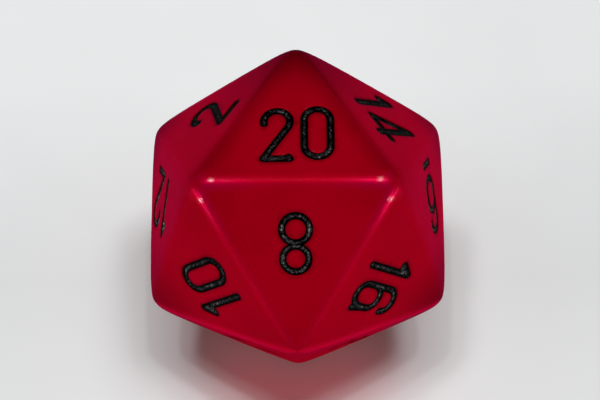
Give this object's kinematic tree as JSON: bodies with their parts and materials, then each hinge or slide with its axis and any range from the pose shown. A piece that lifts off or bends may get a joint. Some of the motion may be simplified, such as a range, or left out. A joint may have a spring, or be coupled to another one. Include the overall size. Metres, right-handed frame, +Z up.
{
  "type": "polyhedral die",
  "caption": "Tumbled red icosahedral die with engraved black-painted numerals, resting on one flat triangular face.",
  "frame": {"origin": "middle of the resting face (face 1), with the die standing on it", "axes": "+Z up, the outward normal of the top face (20); +Y the way the top of the numeral 20 points; +X to the right of someone reading the 20"},
  "size_m": [0.0212, 0.0242, 0.02],
  "materials": {
    "die_plastic": "opaque red plastic, tumbled to a gloss with soft edges",
    "numeral_paint": "black paint, glossy and slightly uneven, in the engraved strokes"
  },
  "bodies": {
    "root": {"die_body": "die_plastic", "paint_01_units": "numeral_paint", "paint_02_units": "numeral_paint", "paint_03_units": "numeral_paint", "paint_04_units": "numeral_paint", "paint_05_units": "numeral_paint", "paint_06_units": "numeral_paint", "paint_06_underline": "numeral_paint", "paint_07_units": "numeral_paint", "paint_08_units": "numeral_paint", "paint_09_units": "numeral_paint", "paint_09_underline": "numeral_paint", "paint_10_tens": "numeral_paint", "paint_10_units": "numeral_paint", "paint_11_tens": "numeral_paint", "paint_11_units": "numeral_paint", "paint_12_tens": "numeral_paint", "paint_12_units": "numeral_paint", "paint_13_tens": "numeral_paint", "paint_13_units": "numeral_paint", "paint_14_tens": "numeral_paint", "paint_14_units": "numeral_paint", "paint_15_tens": "numeral_paint", "paint_15_units": "numeral_paint", "paint_16_tens": "numeral_paint", "paint_16_units": "numeral_paint", "paint_17_tens": "numeral_paint", "paint_17_units": "numeral_paint", "paint_18_tens": "numeral_paint", "paint_18_units": "numeral_paint", "paint_19_tens": "numeral_paint", "paint_19_units": "numeral_paint", "paint_20_tens": "numeral_paint", "paint_20_units": "numeral_paint"}
  },
  "joints": []
}
